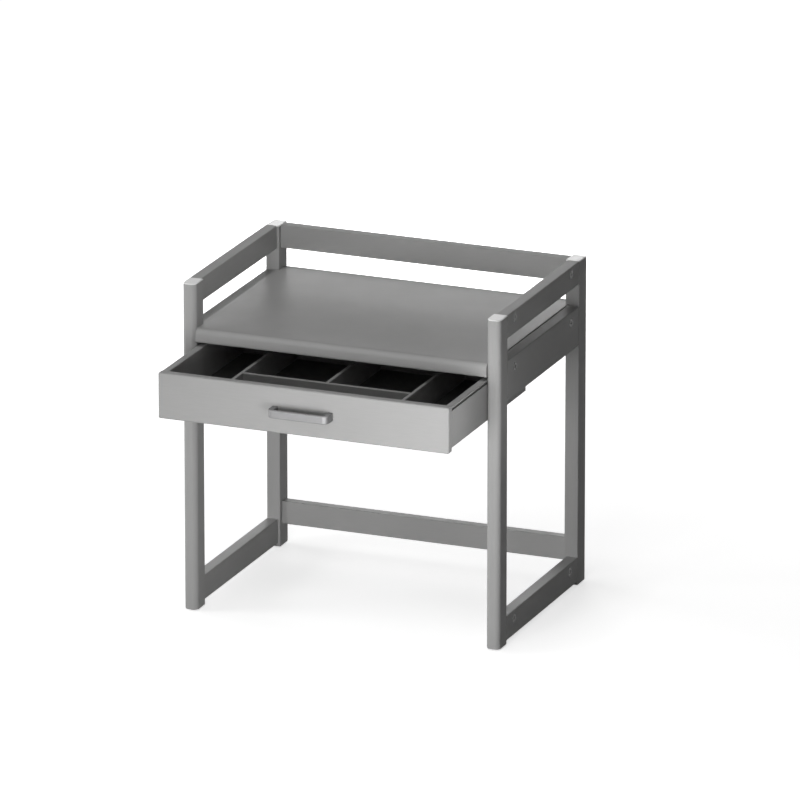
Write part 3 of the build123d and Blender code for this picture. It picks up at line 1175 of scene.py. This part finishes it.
@dataclass
class Glides:
    """The moulded glides under the posts, each with a dimple in its middle.

    The dimple's floor and edge are shares of the glide's radius, and the shoulder of the
    rounded rim is a share of the rim.
    """

    finishes: Finishes
    repeater: Repeater
    rim: float = 0.7 * MM
    shoulder: float = 0.3
    sides: int = 40
    dimple_depth: float = 0.3 * MM
    dimple_floor: float = 0.3
    dimple_edge: float = 0.36

    def build(self) -> None:
        """Make and dress the four glides."""
        low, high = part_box("foot_glides")
        seats = [Seat(Vector(((a.x + b.x) / 2, (a.y + b.y) / 2, low.z)),
                      Vector((0, 0, -1)), Vector((1, 0, 0)))
                 for a, b in (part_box(post) for post in POSTS)]
        radius = high.x - max(seat.place.x for seat in seats)
        height = high.z - low.z
        shoulder = self.rim * self.shoulder
        profile = [(0.0, -self.dimple_depth), (radius * self.dimple_floor, -self.dimple_depth),
                   (radius * self.dimple_edge, 0.0), (radius - self.rim, 0.0),
                   (radius - shoulder, -shoulder), (radius, -self.rim), (radius, -height),
                   (0.0, -height)]
        shape = mesh_from("glide", lambda work: revolve(work, profile, self.sides))
        shape.shade_smooth()
        shape.set_sharp_from_angle(angle=CREASE_ANGLE)
        glides = self.repeater.spread("foot_glides_finished", shape, seats,
                                      self.finishes.glides)
        dress(glides, self.finishes.glides, Body.FRAME, Slot.GLIDE_PLASTIC, "foot_glides")


# ------------------------------------------------------------------------- the studio
def direction(azimuth: float, elevation: float) -> Vector:
    """The way out from the stand to a camera or a light.

    Args:
        azimuth: in degrees, 0 in front and 90 on the right.
        elevation: in degrees over the floor.

    Returns:
        A vector of length 1.
    """
    turn, tilt = math.radians(azimuth), math.radians(elevation)
    return Vector((math.sin(turn) * math.cos(tilt), -math.cos(turn) * math.cos(tilt),
                   math.sin(tilt)))


@dataclass
class PhotoCamera:
    """The camera at the photograph's angle, found by fitting the frame's corners."""

    azimuth: float = 22.1
    elevation: float = 17.96
    distance: float = 16.951
    focal_pixels: float = 10261.15
    target: Vector = Vector((0.0, 0.092, 0.2828))
    target_column: float = 385.1
    target_row: float = 433.1
    image_side: float = 800.0
    sensor: float = 36.0
    sees_from: float = 1.0
    sees_to: float = 200.0

    def build(self) -> None:
        """Make the scene's camera."""
        back = direction(self.azimuth, self.elevation)
        right = direction(self.azimuth + 90.0, 0.0)
        up = back.cross(right)
        metres_per_pixel = self.distance / self.focal_pixels
        aim = (self.target
               + right * ((self.image_side / 2 - self.target_column) * metres_per_pixel)
               + up * ((self.target_row - self.image_side / 2) * metres_per_pixel))
        data = bpy.data.cameras.new("photo camera")
        data.sensor_width = self.sensor
        data.lens = self.focal_pixels / self.image_side * self.sensor
        data.clip_start = self.sees_from
        data.clip_end = self.sees_to
        camera = bpy.data.objects.new("photo camera", data)
        bpy.context.scene.collection.objects.link(camera)
        camera.location = self.target + back * self.distance
        camera.rotation_mode = "QUATERNION"
        camera.rotation_quaternion = (camera.location - aim).to_track_quat("Z", "Y")
        bpy.context.scene.camera = camera


@dataclass(frozen=True)
class Softbox:
    """A square area light that points at the stand, with its power in watts."""

    name: str
    azimuth: float
    elevation: float
    distance: float
    side: float
    power: float

    def build(self, aim: Vector) -> None:
        """Hang the light.

        Args:
            aim: the point that it faces.
        """
        way = direction(self.azimuth, self.elevation)
        data = bpy.data.lights.new(self.name, "AREA")
        data.shape = "SQUARE"
        data.size = self.side
        data.energy = self.power
        light = bpy.data.objects.new(self.name, data)
        bpy.context.scene.collection.objects.link(light)
        light.visible_camera = False
        light.location = aim + way * self.distance
        light.rotation_euler = way.to_track_quat("Z", "Y").to_euler()


@dataclass
class Studio:
    """The floor, the pale surroundings and the lights."""

    aim: Vector = Vector((0.0, 0.05, 0.35))
    drawer_aim: Vector = Vector((0.255, -0.18, 0.43))
    floor_side: float = 60.0
    floor_bounce: float = 0.12
    floor_matt: float = 0.85
    floor_glow: float = 0.62
    glow_starts: float = 0.45
    glow_ends: float = 2.2
    world_light: float = 0.02

    def seen_directly(self, tree: bpy.types.NodeTree) -> bpy.types.NodeSocket:
        """Whether a ray comes from the camera, a mirror or glass.

        Args:
            tree: the tree that gets the nodes.

        Returns:
            1 for such rays and 0 for the others.
        """
        path = tree.nodes.new("ShaderNodeLightPath")
        value = path.outputs["Is Camera Ray"]
        for name in ("Is Glossy Ray", "Is Transmission Ray"):
            either = tree.nodes.new("ShaderNodeMath")
            either.operation = "MAXIMUM"
            tree.links.new(value, either.inputs[0])
            tree.links.new(path.outputs[name], either.inputs[1])
            value = either.outputs["Value"]
        return value

    def between(self, tree: bpy.types.NodeTree, low: float, high: float
                ) -> bpy.types.NodeSocket:
        """One number for rays that light the stand and another for those that see the room.

        Args:
            tree: the tree that gets the nodes.
            low: the number for lighting rays.
            high: the number for seeing rays.

        Returns:
            The chosen number.
        """
        pick = tree.nodes.new("ShaderNodeMapRange")
        pick.inputs["To Min"].default_value = low
        pick.inputs["To Max"].default_value = high
        tree.links.new(self.seen_directly(tree), pick.inputs["Value"])
        return pick.outputs["Result"]

    def surroundings(self) -> None:
        """A white world that lights the stand only a little."""
        world = bpy.data.worlds.new("studio")
        world.use_nodes = True
        tree = world.node_tree
        tree.nodes.clear()
        sky = tree.nodes.new("ShaderNodeBackground")
        out = tree.nodes.new("ShaderNodeOutputWorld")
        sky.inputs["Color"].default_value = (1.0, 1.0, 1.0, 1.0)
        tree.links.new(self.between(tree, self.world_light, 1.0), sky.inputs["Strength"])
        tree.links.new(sky.outputs["Background"], out.inputs["Surface"])
        bpy.context.scene.world = world

    def floor(self) -> None:
        """A pale matt floor, which throws little light back up."""
        half = self.floor_side / 2

        def build(work: bmesh.types.BMesh) -> None:
            """Add one square face.

            Args:
                work: takes the face.
            """
            corners = [work.verts.new((x, y, 0.0)) for x, y in
                       ((-half, -half), (half, -half), (half, half), (-half, half))]
            work.faces.new(corners)

        plane = new_object("floor", mesh_from("floor", build))
        material = bpy.data.materials.new("floor")
        material.use_nodes = True
        tree = material.node_tree
        tree.nodes.clear()
        link = tree.links.new
        matt = tree.nodes.new("ShaderNodeBsdfDiffuse")
        glow = tree.nodes.new("ShaderNodeEmission")
        both = tree.nodes.new("ShaderNodeAddShader")
        out = tree.nodes.new("ShaderNodeOutputMaterial")
        place = tree.nodes.new("ShaderNodeTexCoord")
        reach = tree.nodes.new("ShaderNodeVectorMath")
        reach.operation = "LENGTH"
        link(place.outputs["Object"], reach.inputs[0])
        fade = self.ramp(tree, reach.outputs["Value"], self.floor_glow, 1.0)
        strength = tree.nodes.new("ShaderNodeMath")
        strength.operation = "MULTIPLY"
        link(fade, strength.inputs[0])
        link(self.seen_directly(tree), strength.inputs[1])
        link(strength.outputs["Value"], glow.inputs["Strength"])
        link(self.between(tree, self.floor_bounce, self.floor_matt), matt.inputs["Color"])
        link(matt.outputs["BSDF"], both.inputs[0])
        link(glow.outputs["Emission"], both.inputs[1])
        link(both.outputs["Shader"], out.inputs["Surface"])
        plane.data.materials.append(material)

    def ramp(self, tree: bpy.types.NodeTree, distance: bpy.types.NodeSocket, low: float,
             high: float) -> bpy.types.NodeSocket:
        """A number that rises smoothly with the distance from the stand.

        Args:
            tree: the tree that gets the node.
            distance: the distance in metres.
            low: the number under the stand.
            high: the number far from it.

        Returns:
            The number.
        """
        node = tree.nodes.new("ShaderNodeMapRange")
        node.interpolation_type = "SMOOTHSTEP"
        for name, number in (("From Min", self.glow_starts), ("From Max", self.glow_ends),
                             ("To Min", low), ("To Max", high)):
            node.inputs[name].default_value = number
        tree.links.new(distance, node.inputs["Value"])
        return node.outputs["Result"]

    def build(self) -> None:
        """Set up the room, the lights and the plain view transform."""
        bpy.context.scene.view_settings.view_transform = "Standard"
        self.surroundings()
        self.floor()
        for softbox in (
            Softbox("key light", azimuth=2.0, elevation=2.0, distance=1.6, side=0.5, power=10.2),
            Softbox("side light", azimuth=27.0, elevation=0.0, distance=0.84, side=0.2, power=1.2),
            Softbox("left light", azimuth=-66.0, elevation=4.0, distance=1.3, side=0.4, power=4.0),
            Softbox("high light", azimuth=6.0, elevation=38.0, distance=2.2, side=1.4, power=5.0),
            Softbox("top light", azimuth=0.0, elevation=88.0, distance=3.0, side=0.8, power=18.0),
            Softbox("back light", azimuth=196.0, elevation=3.0, distance=2.4, side=1.2, power=26.0),
            Softbox("far side light", azimuth=-104.0, elevation=4.0, distance=2.2, side=1.0,
                    power=14.0),
            Softbox("near side light", azimuth=106.0, elevation=5.0, distance=2.2, side=1.0,
                    power=1.2),
        ):
            softbox.build(self.aim)
        Softbox("drawer light", azimuth=62.0, elevation=0.0, distance=0.14, side=0.06,
                power=0.066).build(self.drawer_aim)


def main() -> None:
    """Build the stand and its studio."""
    logging.basicConfig(level=logging.INFO, format="%(name)s: %(message)s")
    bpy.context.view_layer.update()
    finishes = Finishes()
    repeater = Repeater()
    Carcass(finishes).build()
    Runners(finishes).build()
    Drawer(finishes).build()
    Handle(finishes).build()
    Screws(finishes, repeater).build()
    Cams(finishes, repeater).build()
    Glides(finishes, repeater).build()
    Studio().build()
    PhotoCamera().build()


if __name__ == "__main__":
    main()
